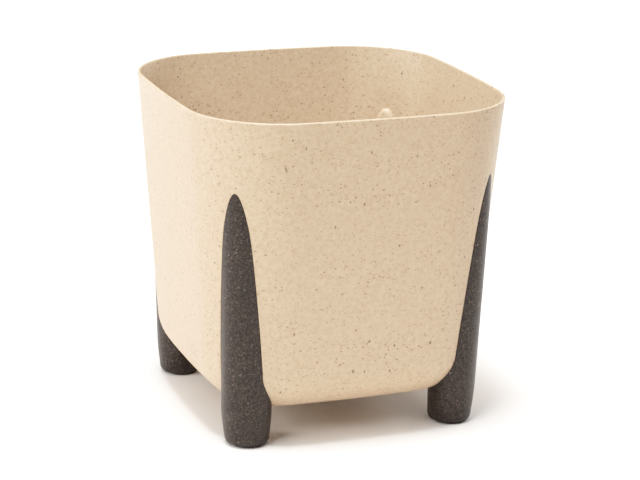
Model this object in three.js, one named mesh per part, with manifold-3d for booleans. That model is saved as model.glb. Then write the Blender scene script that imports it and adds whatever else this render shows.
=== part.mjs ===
// Square planter on four legs. A thin-walled moulded pot with large corner radii and bowed sides
// stands on four tapered legs. A leg is a round post below the pot, and runs up the pot's corner as
// a tongue with a rounded tip, seated in a shallow arch-topped socket in the pot's outside.
// Millimetres, +Z up. The origin is on the floor, under the middle of the pot.

import * as THREE from "three";
import { mergeVertices } from "three/addons/utils/BufferGeometryUtils.js";
import Module from "manifold-3d";

// Pot, outside
const HEIGHT = 297; // floor to rim
const RIM_WIDTH = 295; // between the middles of two opposite sides
const BASE_WIDTH = 253; // the same at the underside, before its edge is rounded
const CORNER_RADIUS = 80; // at the rim
const SIDE_BOW = 2; // how far the middle of a side stands out from its ends, at the rim
const UNDERSIDE = 28; // floor to the pot's underside
const BASE_ROUND = 44; // radius of the edge between sides and underside

// Pot, walls
const WALL = 3;
const RIM_EDGE = 0.8; // chamfer on the rim's two edges
const DRAIN_DIAMETER = 12; // thin discs in the base, knocked out where water has to drain
const DRAIN_DEPTH = 1.6;
const DRAIN_SPACING = 90;

// Legs: depth is along the pot's diagonal, breadth across it
const LEG_TIP = 233; // floor to the leg's tip
const LEG_PROUD = 11.2; // how far the leg stands out from the pot's corner at the underside
const FOOT_WIDTH = 38.4; // round foot, at the floor
const FOOT_EDGE = 6; // rounding of the foot's edge
const POST_DEPTH = 42; // at the underside
const POST_BREADTH = 45;
const TIP_DEPTH = 39; // at the tip, before it is rounded
const TIP_BREADTH = 42;
const TIP_ROUNDING = 50; // length of the rounded stretch below the tip
const TIP_OVERRUN = 26; // length that the rounding goes on above the tip, behind the pot's outside
const TIP_CREST = 0.79; // share of the rounding taken off behind: at 1 the leg's front stays straight
const LEG_WALL = 3;
const LEG_RIB = 2.5; // cross ribs in the leg's open back
const LEG_RIB_SPACING = 40;

// Sockets
const SOCKET_DEPTH = 4.5; // below the pot's outside
const CLEARANCE = 0.3; // between leg and pot

// Fineness of the faceted surfaces
const CORNER_STEPS = 12;
const SIDE_STEPS = 4;
const BASE_ROUND_STEPS = 7;
const POST_STEPS = 24;
const CORE_STEPS = 12;
const FOOT_EDGE_STEPS = 3;
const TIP_STEPS = 5;
const OUTLINE_STEPS = 14;
const DRAIN_STEPS = 20;

const CUT_MARGIN = 5; // how far a cutting solid runs past what it cuts
const MERGE_DISTANCE = 1e-4; // points nearer than this are one

const POT_COLOUR = 0xe2cdb0;
const LEG_COLOUR = 0x4a4340;

// Turn of each leg about the pot's axis, in degrees from +X to its corner's diagonal
const DIAGONAL = 45;
const LEG_TURNS = {
  leg_back_right: DIAGONAL,
  leg_back_left: DIAGONAL + 90,
  leg_front_left: DIAGONAL + 180,
  leg_front_right: DIAGONAL + 270,
};

const wasm = await Module();
wasm.setup();

const { lerp, clamp } = THREE.MathUtils;

// Solids

function toSolid(geometry) {
  const bare = new THREE.BufferGeometry();
  bare.setAttribute("position", geometry.getAttribute("position"));
  bare.setIndex(geometry.index);
  const merged = mergeVertices(bare, MERGE_DISTANCE);
  return new wasm.Manifold(
    new wasm.Mesh({
      numProp: 3,
      vertProperties: new Float32Array(merged.getAttribute("position").array),
      triVerts: new Uint32Array(merged.index.array),
    }),
  );
}

function toGeometry(solid) {
  const mesh = solid.getMesh();
  const geometry = new THREE.BufferGeometry();
  geometry.setAttribute("position", new THREE.BufferAttribute(mesh.vertProperties, 3));
  geometry.setIndex(new THREE.BufferAttribute(mesh.triVerts, 1));
  geometry.computeVertexNormals();
  return geometry;
}

// A closed solid through rings of equally many points, from the lowest ring to the highest.
function loft(rings) {
  const count = rings[0].length;
  const points = rings.flat();
  const index = [];
  for (let level = 0; level + 1 < rings.length; level++) {
    for (let i = 0; i < count; i++) {
      const a = level * count + i;
      const b = level * count + ((i + 1) % count);
      index.push(a, b, b + count, a, b + count, a + count);
    }
  }
  const lastRing = (rings.length - 1) * count;
  for (let i = 1; i + 1 < count; i++) {
    index.push(0, i + 1, i);
    index.push(lastRing, lastRing + i, lastRing + i + 1);
  }
  const geometry = new THREE.BufferGeometry().setFromPoints(points);
  geometry.setIndex(index);
  return toSolid(geometry);
}

// Pot's form: every level is the rim's outline, scaled

const RIM_SIDE = RIM_WIDTH / 2 - SIDE_BOW; // middle of the pot to the ends of a side
const DRAFT = Math.atan((RIM_SIDE * (1 - BASE_WIDTH / RIM_WIDTH)) / (HEIGHT - UNDERSIDE));

function scaleAt(z) {
  return lerp(BASE_WIDTH / RIM_WIDTH, 1, (z - UNDERSIDE) / (HEIGHT - UNDERSIDE));
}

function sideAt(z) {
  return RIM_SIDE * scaleAt(z);
}

function cornerCentreAt(z) {
  return (RIM_SIDE - CORNER_RADIUS) * scaleAt(z);
}

function cornerRadiusAt(z) {
  return CORNER_RADIUS * scaleAt(z);
}

// Distance from the pot's axis to the outside of its corner, along the diagonal.
function cornerReachAt(z) {
  return cornerCentreAt(z) * Math.SQRT2 + cornerRadiusAt(z);
}

// Rounded square with bowed sides, whose sides end at the given distance from the middle.
function potRing(side, z) {
  const centre = cornerCentreAt(z);
  const radius = side - centre;
  const bow = SIDE_BOW * scaleAt(z);
  const ring = [];
  for (let quarter = 0; quarter < 4; quarter++) {
    const turn = (quarter * Math.PI) / 2;
    const place = (x, y) => {
      const point = new THREE.Vector2(x, y).rotateAround(new THREE.Vector2(), turn);
      ring.push(new THREE.Vector3(point.x, point.y, z));
    };
    for (let i = 0; i < SIDE_STEPS; i++) {
      const along = lerp(-1, 1, i / SIDE_STEPS);
      place(side + bow * (1 - along * along), centre * along);
    }
    for (let i = 0; i < CORNER_STEPS; i++) {
      const angle = ((i / CORNER_STEPS) * Math.PI) / 2;
      place(centre + radius * Math.cos(angle), centre + radius * Math.sin(angle));
    }
  }
  return ring;
}

// Rings of the pot's outside, or of the surface that lies inset behind it, up to the rim's edge.
function potRings(inset) {
  const roundSide = sideAt(UNDERSIDE) + BASE_ROUND * (Math.tan(DRAFT) - 1 / Math.cos(DRAFT));
  const roundHeight = UNDERSIDE + BASE_ROUND;
  const radius = BASE_ROUND - inset;
  const rings = [];
  for (let i = 0; i <= BASE_ROUND_STEPS; i++) {
    const angle = lerp(-Math.PI / 2, -DRAFT, i / BASE_ROUND_STEPS);
    rings.push(potRing(roundSide + radius * Math.cos(angle), roundHeight + radius * Math.sin(angle)));
  }
  const edgeHeight = HEIGHT - RIM_EDGE;
  rings.push(potRing(sideAt(edgeHeight) - inset / Math.cos(DRAFT), edgeHeight));
  return rings;
}

function potBody(inset) {
  return loft(potRings(inset));
}

// Leg's form, in a frame whose X runs outwards along the pot's diagonal

const ROUNDING_START = LEG_TIP - TIP_ROUNDING;
const ROUNDING_LENGTH = TIP_ROUNDING + TIP_OVERRUN;

function taper(z, foot, post, tip) {
  if (z < UNDERSIDE) return lerp(foot, post, z / UNDERSIDE);
  return lerp(post, tip, (z - UNDERSIDE) / (LEG_TIP - UNDERSIDE));
}

// The leg's section at a height, as an ellipse whose centre is still measured from a straight axis.
function taperedSection(z) {
  const rounding = clamp((z - ROUNDING_START) / ROUNDING_LENGTH, 0, 1);
  const share = Math.sqrt(1 - rounding * rounding);
  const depth = taper(z, FOOT_WIDTH, POST_DEPTH, TIP_DEPTH) / 2;
  const breadth = taper(z, FOOT_WIDTH, POST_BREADTH, TIP_BREADTH) / 2;
  return {
    offset: TIP_CREST * depth * (1 - share),
    depth: depth * share,
    breadth: breadth * share,
  };
}

// The axis leans so that the leg's front is flush with the pot's corner at the tip.
const tipSection = taperedSection(LEG_TIP);
const AXIS_AT_UNDERSIDE = cornerReachAt(UNDERSIDE) + LEG_PROUD - POST_DEPTH / 2;
const AXIS_AT_TIP = cornerReachAt(LEG_TIP) - tipSection.offset - tipSection.depth;
const LEAN = (AXIS_AT_TIP - AXIS_AT_UNDERSIDE) / (LEG_TIP - UNDERSIDE);

function legSection(z) {
  const { offset, depth, breadth } = taperedSection(z);
  return { centre: AXIS_AT_UNDERSIDE + LEAN * (z - UNDERSIDE) + offset, depth, breadth };
}

function ellipsePoint({ centre, depth, breadth }, angle, z) {
  return new THREE.Vector3(centre + depth * Math.cos(angle), breadth * Math.sin(angle), z);
}

function shrunk({ centre, depth, breadth }, inset) {
  return { centre, depth: depth - inset, breadth: breadth - inset };
}

// Levels of the straight post above the pot's underside, and of its rounded tip.
function upperLevels() {
  const levels = [UNDERSIDE, ROUNDING_START];
  for (let i = 1; i <= TIP_STEPS; i++) {
    levels.push(ROUNDING_START + TIP_ROUNDING * Math.sin(((i / TIP_STEPS) * Math.PI) / 2));
  }
  return levels;
}

// The round post, or its core with the wall left out, running on behind the pot's outside.
function post(inset, steps) {
  const edge = Math.max(FOOT_EDGE - inset, inset / 2);
  const ring = (section, z) => {
    const points = [];
    for (let i = 0; i < steps; i++) {
      points.push(ellipsePoint(section, (i / steps) * 2 * Math.PI, z));
    }
    return points;
  };
  const rings = [];
  for (let i = 0; i <= FOOT_EDGE_STEPS; i++) {
    const angle = ((i / FOOT_EDGE_STEPS) * Math.PI) / 2;
    const z = inset + edge * (1 - Math.cos(angle));
    rings.push(ring(shrunk(legSection(z), inset + edge * (1 - Math.sin(angle))), z));
  }
  upperLevels().forEach((z) => rings.push(ring(shrunk(legSection(z), inset), z)));
  return loft(rings);
}

// The post's front half carried straight back towards the pot's axis.
function postFront(inset, steps) {
  const ring = (section, z) => {
    const points = [];
    for (let i = 0; i <= steps / 2; i++) {
      points.push(ellipsePoint(section, (i / steps) * 2 * Math.PI - Math.PI / 2, z));
    }
    points.push(new THREE.Vector3(TONGUE_BACK - CUT_MARGIN, section.breadth, z));
    points.push(new THREE.Vector3(TONGUE_BACK - CUT_MARGIN, -section.breadth, z));
    return points;
  };
  return loft(upperLevels().map((z) => ring(shrunk(legSection(z), inset), z)));
}

// Where the leg meets the pot's outside: an ellipse cut by the pot's round corner at every height

const SHOULDER = UNDERSIDE + BASE_ROUND; // the tongue starts here, and the post carries the pot below
const TONGUE_BACK = legSection(SHOULDER).centre; // how far in the tongue reaches under the round edge

function outlineHalfWidth(z) {
  const { centre, depth, breadth } = legSection(z);
  const reach = cornerReachAt(z) - centre;
  const radius = cornerRadiusAt(z);
  const a = 1 / (2 * radius * depth) ** 2;
  const b = 1 / breadth ** 2 - reach / (radius * depth ** 2);
  const c = Math.min((reach / depth) ** 2 - 1, 0);
  return Math.sqrt((Math.sqrt(b * b - 4 * a * c) - b) / (2 * a));
}

// A block with the leg's outline, grown by a margin, from the given distance out to past the leg.
function tongueBlock(margin, back) {
  const half = [];
  for (let i = OUTLINE_STEPS; i >= 0; i--) {
    const z = LEG_TIP - (LEG_TIP - SHOULDER) * (i / OUTLINE_STEPS) ** 2;
    half.push(new THREE.Vector2(i > 0 ? outlineHalfWidth(z) : 0, z));
  }
  const grown = half.map((point, i) => {
    if (i === OUTLINE_STEPS) return new THREE.Vector2(0, point.y + margin);
    const along = half[i + 1].clone().sub(half[Math.max(i - 1, 0)]).normalize();
    return new THREE.Vector2(point.x + along.y * margin, point.y - along.x * margin);
  });
  const right = grown.filter((point) => point.x > 0);
  const left = right.map((point) => new THREE.Vector2(-point.x, point.y)).reverse();
  const tip = grown[OUTLINE_STEPS];
  const foot = UNDERSIDE - CUT_MARGIN;
  const shape = new THREE.Shape([
    new THREE.Vector2(-right[0].x, foot),
    new THREE.Vector2(right[0].x, foot),
    ...right,
    tip,
    ...left,
  ]);
  const front = cornerReachAt(LEG_TIP) + LEG_PROUD + CUT_MARGIN;
  const block = new THREE.ExtrudeGeometry(shape, { depth: front - back, bevelEnabled: false });
  block.translate(0, 0, back);
  const acrossUpOut = new THREE.Matrix4().makeBasis(
    new THREE.Vector3(0, 1, 0),
    new THREE.Vector3(0, 0, 1),
    new THREE.Vector3(1, 0, 0),
  );
  return toSolid(block.applyMatrix4(acrossUpOut));
}

// Legs: a hollow moulding, open at the back of the tongue and over the post, with cross ribs

function legSolid() {
  const toLegFrame = (solid) => solid.rotate([0, 0, -DIAGONAL]);
  const potOutside = toLegFrame(potBody(-CLEARANCE));
  const socketFloor = toLegFrame(potBody(SOCKET_DEPTH - CLEARANCE));
  const block = tongueBlock(0, TONGUE_BACK);
  const tongue = block.intersect(potOutside);

  const body = post(0, POST_STEPS)
    .add(tongue.intersect(postFront(0, POST_STEPS)))
    .subtract(potOutside.subtract(block))
    .subtract(socketFloor);

  const tongueCore = tongueBlock(-LEG_WALL, TONGUE_BACK - CUT_MARGIN);
  let core = post(LEG_WALL, CORE_STEPS)
    .subtract(tongue)
    .add(tongueCore.intersect(postFront(LEG_WALL, CORE_STEPS)));
  const acrossAll = 2 * RIM_WIDTH;
  const plate = new THREE.BoxGeometry(acrossAll, acrossAll, LEG_RIB);
  for (let z = SHOULDER + LEG_RIB_SPACING / 2; z < ROUNDING_START; z += LEG_RIB_SPACING) {
    core = core.subtract(toSolid(plate.clone().translate(0, 0, z)));
  }
  return body.subtract(core);
}

// Pot: a shell with a socket at each corner, backed by a raised panel of the same wall inside

function potSolid() {
  const outside = loft([...potRings(0), potRing(sideAt(HEIGHT) - RIM_EDGE, HEIGHT)]);
  const mouth = sideAt(HEIGHT) - WALL / Math.cos(DRAFT) + RIM_EDGE;
  const inside = loft([...potRings(WALL), potRing(mouth, HEIGHT), potRing(mouth, HEIGHT + CUT_MARGIN)]);
  const socketFloor = potBody(SOCKET_DEPTH);
  const panelFace = potBody(SOCKET_DEPTH + WALL);

  const backing = CLEARANCE + WALL;
  let pot = outside.subtract(inside);
  for (const turn of Object.values(LEG_TURNS)) {
    const panel = tongueBlock(backing, TONGUE_BACK - backing).rotate([0, 0, turn]);
    pot = pot.add(panel.intersect(outside).subtract(panelFace));
  }
  for (const turn of Object.values(LEG_TURNS)) {
    const socket = tongueBlock(CLEARANCE, TONGUE_BACK - CLEARANCE).rotate([0, 0, turn]);
    pot = pot.subtract(socket.subtract(socketFloor));
  }

  const drain = new THREE.CylinderGeometry(
    DRAIN_DIAMETER / 2,
    DRAIN_DIAMETER / 2,
    DRAIN_DEPTH + CUT_MARGIN,
    DRAIN_STEPS,
  );
  drain.rotateX(Math.PI / 2);
  drain.translate(0, 0, UNDERSIDE + (DRAIN_DEPTH - CUT_MARGIN) / 2);
  for (const x of [-DRAIN_SPACING / 2, DRAIN_SPACING / 2]) {
    for (const y of [-DRAIN_SPACING / 2, DRAIN_SPACING / 2]) {
      pot = pot.subtract(toSolid(drain.clone().translate(x, y, 0)));
    }
  }
  return pot;
}

// Assembly

const planter = new THREE.Group();

const pot = new THREE.Mesh(
  toGeometry(potSolid()),
  new THREE.MeshStandardMaterial({ color: POT_COLOUR, roughness: 0.75, metalness: 0 }),
);
pot.name = "pot";
planter.add(pot);

const legGeometry = toGeometry(legSolid());
for (const [name, turn] of Object.entries(LEG_TURNS)) {
  const leg = new THREE.Mesh(
    legGeometry,
    new THREE.MeshStandardMaterial({ color: LEG_COLOUR, roughness: 0.7, metalness: 0 }),
  );
  leg.name = name;
  leg.rotation.z = THREE.MathUtils.degToRad(turn);
  planter.add(leg);
}

export default planter;
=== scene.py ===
import math

import bmesh
import bpy
from mathutils import Matrix, Vector


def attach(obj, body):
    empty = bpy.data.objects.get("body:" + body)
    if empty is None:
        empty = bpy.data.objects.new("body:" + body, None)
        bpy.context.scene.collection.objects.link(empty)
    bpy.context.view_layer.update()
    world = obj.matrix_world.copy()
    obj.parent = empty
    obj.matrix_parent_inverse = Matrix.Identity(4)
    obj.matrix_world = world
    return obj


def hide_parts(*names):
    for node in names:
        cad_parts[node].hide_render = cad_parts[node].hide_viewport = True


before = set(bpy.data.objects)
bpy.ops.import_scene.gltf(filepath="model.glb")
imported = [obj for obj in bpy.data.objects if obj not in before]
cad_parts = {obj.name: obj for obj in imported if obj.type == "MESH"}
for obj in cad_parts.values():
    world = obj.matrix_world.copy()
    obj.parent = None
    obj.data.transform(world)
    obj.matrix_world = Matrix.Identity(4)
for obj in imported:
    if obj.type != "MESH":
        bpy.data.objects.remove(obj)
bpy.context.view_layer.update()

# Pot
# A thin-walled square pot with large rounded corners and slightly bowed sides, moulded in one
# piece from cream plastic filled with wood fibre. Every corner has a shallow socket outside, for
# a leg, which stands out inside as a panel with an arched top.

HEIGHT = 0.297  # floor to rim
UNDERSIDE = 0.028  # floor to the pot's underside
BASE_SHARE = 253 / 295  # width at the underside, as a share of the rim's
SIDE_APEX = 0.15004  # where the two halves of a side would meet, were the side not bowed
CORNER_APEX = 0.2  # where two sides would meet, measured along the diagonal
SIDE_TANGENT = 0.0708  # length of each half of a side that the bow takes up
CORNER_TANGENT = 0.0707  # length of each side that a round corner takes up
CORNER_STEPS = 40
SIDE_STEPS = 12
OUTLINE_MERGE = 0.0005  # where a bow ends and a corner starts, their points are made one
BASE_ROUND = 0.0407  # how far the round between sides and underside reaches along both
BASE_ROUND_STEPS = 14
WALL = 0.003
RIM_ROUND = 0.00145
RIM_ROUND_STEPS = 5
RIM_CORNER_ANGLE = math.radians(45)  # the rim's two edges are sharper than this
NEAR = 0.005  # a point this near to a line or a level counts as on it
FACES_UP = 0.9  # least upward part of the normal of a face that looks up


def activate(piece):
    bpy.ops.object.select_all(action="DESELECT")
    piece.select_set(True)
    bpy.context.view_layer.objects.active = piece


def select_where(piece, kind, wanted):
    """In edit mode, select the vertices, edges or faces that pass a test."""
    bpy.ops.mesh.select_mode(type=kind)
    bpy.ops.mesh.select_all(action="DESELECT")
    form = bmesh.from_edit_mesh(piece.data)
    groups = {"VERT": form.verts, "EDGE": form.edges, "FACE": form.faces}
    for element in [e for e in groups[kind] if wanted(e)]:
        element.select_set(True)
    form.select_flush_mode()
    bmesh.update_edit_mesh(piece.data)


def copy_of(piece, name):
    activate(piece)
    bpy.ops.object.duplicate()
    copy = bpy.context.object
    copy.name = name
    return copy


def turned(piece, angle):
    """Turn a piece about the pot's axis, and keep its place in its mesh."""
    activate(piece)
    piece.rotation_euler.z = angle
    bpy.ops.object.transform_apply()
    return piece


def combine(piece, operation, tool):
    """Join a tool to a piece, cut it away or keep what they share, and use the tool up."""
    activate(piece)
    step = piece.modifiers.new("combine", "BOOLEAN")
    step.operation = operation
    step.solver = "EXACT"
    step.object = tool
    bpy.ops.object.modifier_apply(modifier=step.name)
    bpy.data.objects.remove(tool)


def pot_form(name, inset):
    """Solid with the pot's outside, or the form that lies inset behind it.

    It starts as an octagon, with a point at every corner and in the middle of every side.
    """
    bpy.ops.object.select_all(action="DESELECT")
    bpy.ops.mesh.primitive_circle_add(
        vertices=8, radius=SIDE_APEX, fill_type="NGON", location=(0, 0, UNDERSIDE)
    )
    form = bpy.context.object
    form.name = name
    bpy.ops.object.transform_apply()
    bpy.ops.object.mode_set(mode="EDIT")
    select_where(form, "VERT", lambda v: abs(abs(v.co.x) - abs(v.co.y)) < NEAR)
    growth = CORNER_APEX / SIDE_APEX
    bpy.ops.transform.resize(value=(growth, growth, 1), center_override=(0, 0, 0))
    bpy.ops.mesh.bevel(
        offset=CORNER_TANGENT, segments=CORNER_STEPS, affect="VERTICES", clamp_overlap=False
    )
    select_where(form, "VERT", lambda v: min(abs(v.co.x), abs(v.co.y)) < NEAR)
    bpy.ops.mesh.bevel(
        offset=SIDE_TANGENT, segments=SIDE_STEPS, affect="VERTICES", clamp_overlap=False
    )
    bpy.ops.mesh.select_all(action="SELECT")
    bpy.ops.mesh.remove_doubles(threshold=OUTLINE_MERGE)
    bpy.ops.transform.resize(value=(BASE_SHARE, BASE_SHARE, 1), center_override=(0, 0, 0))
    bpy.ops.mesh.extrude_region_move(
        TRANSFORM_OT_translate={"value": (0, 0, HEIGHT - UNDERSIDE)}
    )
    growth = 1 / BASE_SHARE
    bpy.ops.transform.resize(value=(growth, growth, 1), center_override=(0, 0, 0))
    bpy.ops.mesh.select_all(action="SELECT")
    bpy.ops.mesh.normals_make_consistent(inside=False)
    select_where(form, "EDGE", lambda e: max(v.co.z for v in e.verts) < UNDERSIDE + NEAR)
    bpy.ops.mesh.bevel(
        offset=BASE_ROUND, segments=BASE_ROUND_STEPS, affect="EDGES", clamp_overlap=False
    )
    bpy.ops.mesh.select_all(action="SELECT")
    bpy.ops.transform.shrink_fatten(value=-inset, use_even_offset=True)
    bpy.ops.object.mode_set(mode="OBJECT")
    return form


pot = pot_form("moulded_pot", 0)
bpy.ops.object.mode_set(mode="EDIT")
select_where(pot, "FACE", lambda face: face.normal.z > FACES_UP)
bpy.ops.mesh.delete(type="ONLY_FACE")
bpy.ops.object.mode_set(mode="OBJECT")
wall = pot.modifiers.new("wall", "SOLIDIFY")
wall.thickness = WALL
wall.offset = -1
wall.use_even_offset = True
bpy.ops.object.modifier_apply(modifier=wall.name)


def on_rim(vertex):
    return vertex.co.z > HEIGHT - RIM_ROUND


def rim_corner(edge):
    """True for the rim's inner and outer edges, which the mould rounds."""
    return all(on_rim(v) for v in edge.verts) and edge.calc_face_angle(0) > RIM_CORNER_ANGLE


bpy.ops.object.mode_set(mode="EDIT")
select_where(pot, "VERT", on_rim)
bpy.ops.transform.resize(value=(1, 1, 0), center_override=(0, 0, HEIGHT))
select_where(pot, "EDGE", rim_corner)
bpy.ops.mesh.bevel(
    offset=RIM_ROUND, segments=RIM_ROUND_STEPS, affect="EDGES", clamp_overlap=False
)
bpy.ops.object.mode_set(mode="OBJECT")

# The leg's section at a height is an ellipse, given along and across the pot's diagonal. Where it
# meets the round corner of the pot's outside is the outline of leg, socket and panel.
RIM_CORNER_RADIUS = 0.08
RIM_CORNER_CENTRE = 0.0655  # from the pot's axis, along X and along Y
RIM_CORNER_REACH = RIM_CORNER_CENTRE * math.sqrt(2) + RIM_CORNER_RADIUS
LEG_TIP = 0.233  # floor to the leg's tip
FOOT_WIDTH = 0.0384
POST_DEPTH = 0.042  # along the diagonal, at the pot's underside
POST_BREADTH = 0.045  # across it
TIP_DEPTH = 0.039
TIP_BREADTH = 0.042
ROUNDING_START = 0.183  # the tip's rounding starts at this height
ROUNDING_LENGTH = 0.076  # and would close at this much above it, behind the pot's outside
TIP_CREST = 0.79  # share of the tip's rounding that is taken off behind
AXIS_AT_UNDERSIDE = 0.13825  # pot's axis to the leg's axis, along the diagonal
LEG_LEAN = 0.049  # how far the axis moves out with height, as a share of the height
SHOULDER = 0.072  # the tongue starts here, and the post carries the pot below
TONGUE_BACK = 0.1404  # how far in the tongue reaches under the round edge
SOCKET_DEPTH = 0.0045
CLEARANCE = 0.0003  # between leg and pot
OUTLINE_STEPS = 40
CUT_MARGIN = 0.005  # how far a cutting form runs past what it cuts
CORNERS = {
    "back_right": math.radians(45),
    "back_left": math.radians(135),
    "front_left": math.radians(225),
    "front_right": math.radians(315),
}


def taper(z, foot, post, tip):
    """A width of the leg at a height, from those at its foot, the pot's underside and its tip."""
    if z < UNDERSIDE:
        return foot + (post - foot) * z / UNDERSIDE
    return post + (tip - post) * (z - UNDERSIDE) / (LEG_TIP - UNDERSIDE)


def leg_section(z):
    """Centre, half depth and half breadth of the leg at a height."""
    rounding = min(max((z - ROUNDING_START) / ROUNDING_LENGTH, 0), 1)
    share = math.sqrt(1 - rounding**2)
    depth = taper(z, FOOT_WIDTH, POST_DEPTH, TIP_DEPTH) / 2
    breadth = taper(z, FOOT_WIDTH, POST_BREADTH, TIP_BREADTH) / 2
    centre = AXIS_AT_UNDERSIDE + LEG_LEAN * (z - UNDERSIDE) + TIP_CREST * depth * (1 - share)
    return centre, depth * share, breadth * share


def share_at(z):
    """Size of the pot's outline at a height, as a share of the rim's."""
    return BASE_SHARE + (1 - BASE_SHARE) * (z - UNDERSIDE) / (HEIGHT - UNDERSIDE)


def outline_half_width(z):
    """Half the width of the leg at a height, where it meets the pot's outside."""
    centre, depth, breadth = leg_section(z)
    reach = RIM_CORNER_REACH * share_at(z) - centre
    radius = RIM_CORNER_RADIUS * share_at(z)
    a = 1 / (2 * radius * depth) ** 2
    b = 1 / breadth**2 - reach / (radius * depth**2)
    c = min((reach / depth) ** 2 - 1, 0)
    return math.sqrt((math.sqrt(b * b - 4 * a * c) - b) / (2 * a))


def leg_outline(margin):
    """Half widths and heights of the leg's outline, grown by a margin, from shoulder to tip."""
    levels = [
        LEG_TIP - (LEG_TIP - SHOULDER) * (i / OUTLINE_STEPS) ** 2
        for i in range(OUTLINE_STEPS, 0, -1)
    ]
    points = [Vector((outline_half_width(z), z)) for z in levels]
    befores = [points[0]] + points
    afters = points[1:] + [Vector((0, LEG_TIP))]
    grown = []
    for before, point, after in zip(befores, points, afters):
        along = (after - before).normalized()
        grown.append(point + margin * Vector((along.y, -along.x)))
    return grown


def tongue_block(name, margin, back):
    """Block with the leg's outline, grown by a margin, on the +X side, from a depth outwards."""
    outline = leg_outline(margin)
    foot = UNDERSIDE - CUT_MARGIN
    front = RIM_CORNER_REACH + POST_DEPTH
    half_width, level = outline[0]
    bpy.ops.object.select_all(action="DESELECT")
    bpy.ops.mesh.primitive_cube_add(
        size=1,
        location=((front + back) / 2, 0, (level + foot) / 2),
        scale=(front - back, 2 * half_width, level - foot),
    )
    block = bpy.context.object
    block.name = name
    bpy.ops.object.transform_apply()
    bpy.ops.object.mode_set(mode="EDIT")
    select_where(block, "FACE", lambda face: face.normal.z > FACES_UP)
    for lower, upper in zip(outline, outline[1:]):
        bpy.ops.mesh.extrude_region_move(
            TRANSFORM_OT_translate={"value": (0, 0, upper.y - lower.y)}
        )
        bpy.ops.transform.resize(value=(1, upper.x / lower.x, 1), center_override=(0, 0, 0))
    bpy.ops.object.mode_set(mode="OBJECT")
    return block


def at_every_corner(piece):
    """Four of a piece that was made on the +X side, one at each corner, as one object."""
    copies = [turned(copy_of(piece, piece.name), angle) for angle in CORNERS.values()]
    bpy.data.objects.remove(piece)
    bpy.ops.object.select_all(action="DESELECT")
    for copy in copies:
        copy.select_set(True)
    bpy.context.view_layer.objects.active = copies[0]
    bpy.ops.object.join()
    return copies[0]


def behind_outside(name, inset):
    """Form behind the pot's outside, turned so that one of its corners is on the +X side."""
    return turned(pot_form(name, inset), math.radians(45))


# A panel is the wall behind a socket. It keeps the wall's thickness there, its edges are round,
# and its face is made of a few wide faces, because the round can't run over narrow ones.
PANEL_ROUND = 0.004
PANEL_ROUND_STEPS = 6
PANEL_RISE = 0.0025  # how much higher a panel's top is than the wall behind the socket needs
PANEL_SKIN = 0.0003  # how far behind the pot's outside a panel starts
FACES_AXIS = 0.7  # least part of a normal, towards the pot's axis, on a panel's face
FOOT_TILT = 0.05  # upward part of the normal: less on a panel's foot,
WALL_TILT = 0.12  # less than this on its wall, and more on the round between the two
SIDE_TILT = 0.5  # the normals of a panel's sides turn less than this inwards, outwards and down


def panel_part(face):
    """The part of a panel, made on the +X side, that a face belongs to."""
    if face.normal.x > -FACES_AXIS:
        return "side"
    if face.normal.z < FOOT_TILT:
        return "foot"
    return "wall" if face.normal.z < WALL_TILT else "round"


def inside_part(edge):
    """True for the edges between the narrow faces of a panel's foot, wall or round."""
    parts = {panel_part(face) for face in edge.link_faces}
    return len(parts) == 1 and "side" not in parts


def panel_edge(edge):
    """True for the edge between a panel's face and its sides."""
    sides = [face for face in edge.link_faces if panel_part(face) == "side"]
    if len(sides) != 1:
        return False
    return abs(sides[0].normal.x) < SIDE_TILT and sides[0].normal.z > -SIDE_TILT


backing = CLEARANCE + WALL
panel = tongue_block("panel", backing, TONGUE_BACK - backing)
panel.location.z = PANEL_RISE
bpy.ops.object.transform_apply()
combine(panel, "INTERSECT", behind_outside("panel_back", PANEL_SKIN))
combine(panel, "DIFFERENCE", behind_outside("panel_face", SOCKET_DEPTH + WALL))
bpy.ops.object.mode_set(mode="EDIT")
select_where(panel, "EDGE", inside_part)
bpy.ops.mesh.dissolve_edges(use_verts=True)
select_where(panel, "EDGE", panel_edge)
bpy.ops.mesh.bevel(
    offset=PANEL_ROUND, segments=PANEL_ROUND_STEPS, affect="EDGES", clamp_overlap=False
)
bpy.ops.object.mode_set(mode="OBJECT")
combine(pot, "UNION", at_every_corner(panel))

socket = tongue_block("socket", CLEARANCE, TONGUE_BACK - CLEARANCE)
combine(socket, "DIFFERENCE", behind_outside("socket_floor", SOCKET_DEPTH))
combine(pot, "DIFFERENCE", at_every_corner(socket))

# Four thin discs in the base can be knocked out, to let water drain.
DRAIN_RADIUS = 0.006
DRAIN_DEPTH = 0.0016
DRAIN_SPACING = 0.09
DRAIN_SIDES = 40
bpy.ops.object.select_all(action="DESELECT")
bpy.ops.mesh.primitive_cylinder_add(
    vertices=DRAIN_SIDES,
    radius=DRAIN_RADIUS,
    depth=DRAIN_DEPTH + CUT_MARGIN,
    location=(DRAIN_SPACING / math.sqrt(2), 0, UNDERSIDE + (DRAIN_DEPTH - CUT_MARGIN) / 2),
)
drain = bpy.context.object
drain.name = "drain"
bpy.ops.object.transform_apply()
combine(pot, "DIFFERENCE", at_every_corner(drain))

# Both plastics are drawn by the same few patterns of blots and grains, made of shader nodes.
GRAIN_LEAST = 0.45  # size of the smallest grains, as a share of the largest
GRAIN_EDGE = 4  # how sharp a grain's edge is
CHOICE_EDGE = 50  # how sharply grains that show are told from those that don't
NOISE_ROUGHNESS = 0.7
STIR_SIZE = 0.002  # grains are made ragged by blots of this size
STIR_REACH = 0.0016  # that move their edges by up to this much
RELIEF_DEPTH = 0.0002


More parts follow.
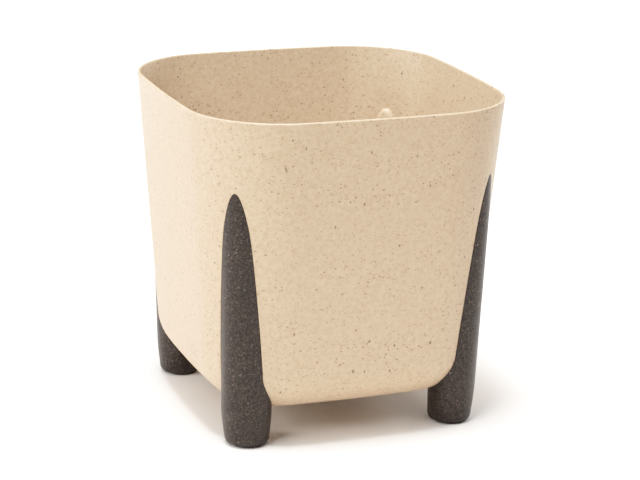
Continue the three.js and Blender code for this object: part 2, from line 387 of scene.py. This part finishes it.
class Shade:
    """An output of a material's node. Sums and products of shades add Math nodes."""

    def __init__(self, tree, socket=None):
        self.tree = tree
        self.socket = socket

    def node(self, kind, settings, sockets, output=0):
        """Add a node of a type, with its settings and the values or links of its sockets."""
        made = self.tree.nodes.new(kind)
        for name, value in settings.items():
            setattr(made, name, value)
        for key, value in sockets.items():
            if isinstance(value, Shade):
                self.tree.links.new(value.socket, made.inputs[key])
            else:
                made.inputs[key].default_value = value
        return Shade(self.tree, made.outputs[output])

    def sibling(self, output):
        """Another output of the same node."""
        return Shade(self.tree, self.socket.node.outputs[output])

    def math(self, operation, first, second):
        return self.node("ShaderNodeMath", {"operation": operation}, {0: first, 1: second})

    def __add__(self, other):
        return self.math("ADD", self, other)

    def __radd__(self, other):
        return self.math("ADD", other, self)

    def __sub__(self, other):
        return self.math("SUBTRACT", self, other)

    def __rsub__(self, other):
        return self.math("SUBTRACT", other, self)

    def __mul__(self, other):
        return self.math("MULTIPLY", self, other)

    def __rmul__(self, other):
        return self.math("MULTIPLY", other, self)

    def __pow__(self, other):
        return self.math("POWER", self, other)

    def clamped(self):
        return self.node("ShaderNodeClamp", {}, {"Value": self})

    def spread(self, low, gain):
        """Values from a low one upwards, made larger and kept from 0 to 1."""
        return ((self - low) * gain).clamped()

    def vector(self, operation, first, second, output="Vector"):
        settings = {"operation": operation}
        return self.node("ShaderNodeVectorMath", settings, {0: first, 1: second}, output)

    def noise(self, place, size, detail):
        """Soft random values from 0 to 1, whose blots are about as wide as the size."""
        sockets = {"Vector": place, "Scale": 1 / size, "Detail": detail}
        return self.node("ShaderNodeTexNoise", {}, {**sockets, "Roughness": NOISE_ROUGHNESS})

    def mixed(self, share, first, second, blend="MIX"):
        """One colour turning into another, or into their product."""
        settings = {"data_type": "RGBA", "blend_type": blend}
        return self.node("ShaderNodeMix", settings, {0: share, 6: first, 7: second}, output=2)

    def stirred(self, place):
        """A place moved a little to and fro, so that what is drawn there gets ragged edges."""
        sockets = {"Vector": place, "Scale": 1 / STIR_SIZE, "Detail": 1.0}
        drift = self.node("ShaderNodeTexNoise", {}, sockets, output="Color")
        return self.vector("ADD", place, self.vector("MULTIPLY", drift, [STIR_REACH] * 3))

    def flecks(self, place, spacing, radius, chosen, squeeze=(1, 1, 1)):
        """Mask of separate grains, about spacing apart, of which a chosen share shows.

        Grains are longer in a direction in which places are squeezed together.
        """
        place = self.vector("MULTIPLY", place, squeeze)
        sockets = {"Vector": place, "Scale": 1 / spacing, "Randomness": 1.0}
        cells = self.node("ShaderNodeTexVoronoi", {"feature": "F1"}, sockets)
        draw = self.node("ShaderNodeSeparateColor", {}, {"Color": cells.sibling("Color")})
        size = draw.sibling("Green")
        shown = ((chosen - draw) * CHOICE_EDGE).clamped()
        reach = (GRAIN_LEAST + (1 - GRAIN_LEAST) * size) * (radius / spacing)
        return ((reach - cells) * (GRAIN_EDGE * spacing / radius)).clamped() * shown

    def relief(self, height, strength):
        """Bumps of the moulded surface, a fraction of a millimetre deep."""
        sockets = {"Strength": strength, "Distance": RELIEF_DEPTH, "Height": height}
        return self.node("ShaderNodeBump", {}, sockets)


def new_material(name):
    """A material and its surface shader."""
    material = bpy.data.materials.new(name)
    material.use_nodes = True
    return material, material.node_tree.nodes["Principled BSDF"]


def feed(shader, **shades):
    """Link shades to a shader's sockets."""
    for name, shade in shades.items():
        shade.tree.links.new(shade.socket, shader.inputs[name.replace("_", " ")])


# Cream wood-fibre plastic: a fine mottle, many faint brown fibres that lie level, and a few dark
# flecks of bark that stand upright. The pot's inside faces are painted a shade greyer. This is
# painted light that stands in for the light bouncing about inside the pot, not a colour of the
# plastic.
CREAM = (0.463, 0.322, 0.2015, 1)
CREAM_PALE = (0.548, 0.405, 0.2705, 1)
FIBRE_BROWN = (0.2, 0.135, 0.08, 1)
BARK_BROWN = (0.077, 0.05, 0.031, 1)
FINE_SHOWS = 0.5
FIBRES_SHOW = 0.8
BARK_SHOWS = 0.8
BARK_SINKS = 0.5
LYING = (0.65, 0.65, 1)  # squeezes places so that grains come out long and level,
STANDING = (1, 1, 0.65)  # or long and upright
# Painted light: the tint of the inside faces, in place of the light that bounces inside the pot.
INSIDE_PAINTED_LIGHT_TINT = (0.978, 1.013, 1.037, 1)
INSIDE_PAINTED_LIGHT_EDGE = 200  # how sharply the inside's tint starts
POT_MIDDLE = (0, 0, HEIGHT / 2)
CREAM_ROUGHNESS = 0.4
CREAM_ROUGHNESS_RANGE = 0.2

cream_plastic, surface = new_material("cream_wood_fibre_plastic")
shade = Shade(cream_plastic.node_tree)
place = shade.node("ShaderNodeTexCoord", {}, {}, output="Object")
ragged = shade.stirred(place)
mottle = shade.noise(place, size=0.0042, detail=3.0)
clouds = shade.noise(place, size=0.03, detail=2.0)
fine = shade.flecks(ragged, spacing=0.0026, radius=0.0009, chosen=0.9)
fibres = shade.flecks(ragged, spacing=0.0038, radius=0.0009, chosen=0.8, squeeze=LYING)
bark = shade.flecks(ragged, spacing=0.0115, radius=0.0014, chosen=0.6, squeeze=STANDING)
# Mask of the faces turned towards the pot's middle, where the painted light tint goes.
facing = shade.node("ShaderNodeNewGeometry", {}, {}, output="Normal")
from_middle = shade.vector("SUBTRACT", place, POT_MIDDLE)
outwards = shade.vector("DOT_PRODUCT", facing, from_middle, output="Value")
inside = (0.5 - INSIDE_PAINTED_LIGHT_EDGE * outwards).clamped()
base = shade.mixed(mottle.spread(low=0.32, gain=2.8), CREAM, CREAM_PALE)
base = shade.mixed(clouds.spread(low=0.5, gain=0.5), base, CREAM)
# Painted light: the inside faces are made greyer, for the light that bounces inside the pot.
base = shade.mixed(inside, base, INSIDE_PAINTED_LIGHT_TINT, blend="MULTIPLY")
base = shade.mixed(fine * FINE_SHOWS, base, FIBRE_BROWN)
base = shade.mixed(fibres * FIBRES_SHOW, base, FIBRE_BROWN)
base = shade.mixed(bark * BARK_SHOWS, base, BARK_BROWN)
grain = shade.noise(place, size=0.0012, detail=2.0)
relief = shade.relief(grain - bark * BARK_SINKS, strength=0.12)
roughness = CREAM_ROUGHNESS + CREAM_ROUGHNESS_RANGE * mottle
feed(surface, Base_Color=base, Roughness=roughness, Normal=relief)

SMOOTH_ANGLE = math.radians(35)  # edges sharper than this stay sharp


def dressed(piece, material):
    """Give a finished piece its material and smooth faces, and make it ride on the part."""
    activate(piece)
    piece.data.materials.clear()
    piece.data.materials.append(material)
    bpy.ops.object.shade_smooth_by_angle(angle=SMOOTH_ANGLE)
    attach(piece, "root")


dressed(pot, cream_plastic)
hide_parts("pot")

# Legs
# Four like legs, moulded from the same plastic dyed dark. A leg is a round post with a softened
# foot below the pot, and above it a tongue that tapers to a rounded tip and is pushed into the
# socket in the pot's corner. The post's shoulder carries the pot's round edge.

LEG_SIDES = 96
FOOT_EDGE = 0.006
FOOT_EDGE_STEPS = 8
WAIST_ROUND = 0.009  # the waist is at the pot's underside, where the post starts to taper upwards
WAIST_ROUND_STEPS = 6
TIP_STEPS = 24


def quarter_turn(step, steps):
    """Angle after some of the equal steps of a quarter turn."""
    return math.radians(90 * step / steps)


def leg_rings():
    """Heights and sections of the leg from its sole to its tip."""
    rings = []
    for i in range(FOOT_EDGE_STEPS + 1):
        angle = quarter_turn(i, FOOT_EDGE_STEPS)
        z = FOOT_EDGE * (1 - math.cos(angle))
        inset = FOOT_EDGE * (1 - math.sin(angle))
        centre, depth, breadth = leg_section(z)
        rings.append((z, centre, depth - inset, breadth - inset))
    for z in (UNDERSIDE, ROUNDING_START):
        rings.append((z, *leg_section(z)))
    for i in range(1, TIP_STEPS + 1):
        share = math.sin(quarter_turn(i, TIP_STEPS))
        z = ROUNDING_START + (LEG_TIP - ROUNDING_START) * share
        rings.append((z, *leg_section(z)))
    return rings


def at_waist(edge):
    return all(abs(v.co.z - UNDERSIDE) < NEAR for v in edge.verts)


def leg_post():
    """The whole round post on the +X side, running on behind the pot's outside."""
    rings = leg_rings()
    z, centre, depth, breadth = rings[0]
    bpy.ops.object.select_all(action="DESELECT")
    bpy.ops.mesh.primitive_circle_add(
        vertices=LEG_SIDES, radius=depth, fill_type="NGON", location=(centre, 0, z)
    )
    post = bpy.context.object
    bpy.ops.object.transform_apply()
    bpy.ops.object.mode_set(mode="EDIT")
    bpy.ops.mesh.select_all(action="SELECT")
    for lower, upper in zip(rings, rings[1:]):
        last_z, last_centre, last_depth, last_breadth = lower
        z, centre, depth, breadth = upper
        bpy.ops.mesh.extrude_region_move(
            TRANSFORM_OT_translate={"value": (centre - last_centre, 0, z - last_z)}
        )
        bpy.ops.transform.resize(
            value=(depth / last_depth, breadth / last_breadth, 1), center_override=(centre, 0, z)
        )
    bpy.ops.mesh.select_all(action="SELECT")
    bpy.ops.mesh.normals_make_consistent(inside=False)
    select_where(post, "EDGE", at_waist)
    bpy.ops.mesh.bevel(offset=WAIST_ROUND, segments=WAIST_ROUND_STEPS, affect="EDGES")
    bpy.ops.object.mode_set(mode="OBJECT")
    return post


leg = leg_post()
around_tongue = behind_outside("around_tongue", -CLEARANCE)
combine(around_tongue, "DIFFERENCE", tongue_block("tongue", 0, TONGUE_BACK))
combine(leg, "DIFFERENCE", around_tongue)
combine(leg, "DIFFERENCE", behind_outside("socket_floor", SOCKET_DEPTH - CLEARANCE))

# The same plastic, dyed dark brown-grey, in which pale fibres show.
DARK = (0.008, 0.005, 0.0037, 1)
DARK_PALE = (0.045, 0.0312, 0.025, 1)
FIBRE_PALE = (0.22, 0.17, 0.13, 1)
PALE_FINE_SHOWS = 0.24
PALE_FIBRES_SHOW = 0.42
DARK_SPECULAR = 0.2
DARK_ROUGHNESS = 0.35
DARK_ROUGHNESS_RANGE = 0.15

dark_plastic, surface = new_material("dark_wood_fibre_plastic")
shade = Shade(dark_plastic.node_tree)
place = shade.node("ShaderNodeTexCoord", {}, {}, output="Object")
ragged = shade.stirred(place)
mottle = shade.noise(place, size=0.0022, detail=3.0)
fine = shade.flecks(ragged, spacing=0.0024, radius=0.0009, chosen=0.8)
fibres = shade.flecks(ragged, spacing=0.0058, radius=0.0011, chosen=0.5)
base = shade.mixed(mottle.spread(low=0.36, gain=3.2), DARK, DARK_PALE)
base = shade.mixed(fine * PALE_FINE_SHOWS, base, FIBRE_PALE)
base = shade.mixed(fibres * PALE_FIBRES_SHOW, base, FIBRE_PALE)
relief = shade.relief(shade.noise(place, size=0.0012, detail=2.0), strength=0.15)
roughness = DARK_ROUGHNESS + DARK_ROUGHNESS_RANGE * mottle
surface.inputs["Specular IOR Level"].default_value = DARK_SPECULAR
feed(surface, Base_Color=base, Roughness=roughness, Normal=relief)

for corner, angle in CORNERS.items():
    fitted = turned(copy_of(leg, "moulded_leg_" + corner), angle)
    dressed(fitted, dark_plastic)
    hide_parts("leg_" + corner)
bpy.data.objects.remove(leg)

# Floor
# A plain floor of a slightly warm white under the planter, much larger than the view.

FLOOR_WIDTH = 14
FLOOR_WHITE = (0.9, 0.86, 0.815, 1)
FLOOR_ROUGHNESS = 0.8
bpy.ops.object.select_all(action="DESELECT")
bpy.ops.mesh.primitive_plane_add(size=FLOOR_WIDTH)
floor = bpy.context.object
floor.name = "floor"
white_floor, surface = new_material("white_floor")
surface.inputs["Base Color"].default_value = FLOOR_WHITE
surface.inputs["Roughness"].default_value = FLOOR_ROUGHNESS
floor.data.materials.append(white_floor)

# Light
# A white surround that is brightest overhead, a strong soft lamp above, weaker ones at the front
# left, left and right, and one that whitens the floor behind. The view has the soft shoulder of a
# camera's response, which pales what is brightly lit.

SKY_OVERHEAD = 3.18
SKY_HORIZON = 0.05
SKY_FALL = 6  # how fast the surround darkens from overhead to the horizon
BRIGHTEST = 1.6  # light in the scene that the view shows as white
RESPONSE = {0.5: 0.5, 0.75: 0.68, 1.0: 0.81, 1.3: 0.93}  # light in the scene, and as it is shown
ALL_CHANNELS = 3  # the curve that acts on red, green and blue together

world = bpy.data.worlds.new("white_surround")
world.use_nodes = True
background = world.node_tree.nodes["Background"]
shade = Shade(world.node_tree)
direction = shade.node("ShaderNodeTexCoord", {}, {}, output="Generated")
upwards = shade.node("ShaderNodeSeparateXYZ", {}, {"Vector": direction}, output="Z").clamped()
feed(background, Strength=SKY_HORIZON + (SKY_OVERHEAD - SKY_HORIZON) * upwards**SKY_FALL)
background.inputs["Color"].default_value = (1, 1, 1, 1)
bpy.context.scene.world = world

view = bpy.context.scene.view_settings
view.view_transform = "Standard"
view.use_curve_mapping = True
view.curve_mapping.white_level = [BRIGHTEST] * 3
curve = view.curve_mapping.curves[ALL_CHANNELS]
for light, shown in RESPONSE.items():
    curve.points.new(light / BRIGHTEST, shown)
view.curve_mapping.update()


def soft_lamp(name, place, width, power, target=POT_MIDDLE, spread=180):
    """A square lamp that faces a target, and that no view shows."""
    lamp = bpy.data.lights.new(name, "AREA")
    lamp.size = width
    lamp.spread = math.radians(spread)
    lamp.energy = power
    holder = bpy.data.objects.new(name, lamp)
    bpy.context.scene.collection.objects.link(holder)
    holder.location = place
    facing = Vector(target) - Vector(place)
    holder.rotation_euler = facing.to_track_quat("-Z", "Y").to_euler()
    holder.visible_camera = False


soft_lamp("top_lamp", place=(-0.23, -0.23, 2.55), width=0.6, power=106)
soft_lamp("key_lamp", place=(-1.6, -1.05, 1.5), width=1.0, power=21)
soft_lamp("side_lamp", place=(-1.1, 0.2, 0.45), width=0.3, power=5.2)
soft_lamp("edge_lamp", place=(1.2, 0.5, 0.5), width=0.4, power=5.8)
soft_lamp(
    "backdrop_lamp", place=(0.5, 3.3, 1.7), width=2.0, power=540, target=(0.5, 3.4, 0), spread=130
)

# Camera
# The photograph's view: from the front, a little to the left and above, with a long lens.

CAMERA_PLACE = Vector((-0.7035, -1.831, 0.736))
CAMERA_TURN = math.radians(-21.16)
CAMERA_DROP = math.radians(16.66)
CAMERA_ROLL = math.radians(1.36)
CAMERA_LENS = 126.05
CAMERA_SENSOR = 36

camera = bpy.data.objects.new("camera", bpy.data.cameras.new("camera"))
camera.data.lens = CAMERA_LENS
camera.data.sensor_width = CAMERA_SENSOR
camera.data.sensor_fit = "HORIZONTAL"
bpy.context.scene.collection.objects.link(camera)
aim = Matrix.Rotation(CAMERA_TURN, 4, "Z")
aim = aim @ Matrix.Rotation(math.radians(90) - CAMERA_DROP, 4, "X")
aim = aim @ Matrix.Rotation(CAMERA_ROLL, 4, "Z")
camera.matrix_world = Matrix.Translation(CAMERA_PLACE) @ aim
bpy.context.scene.camera = camera
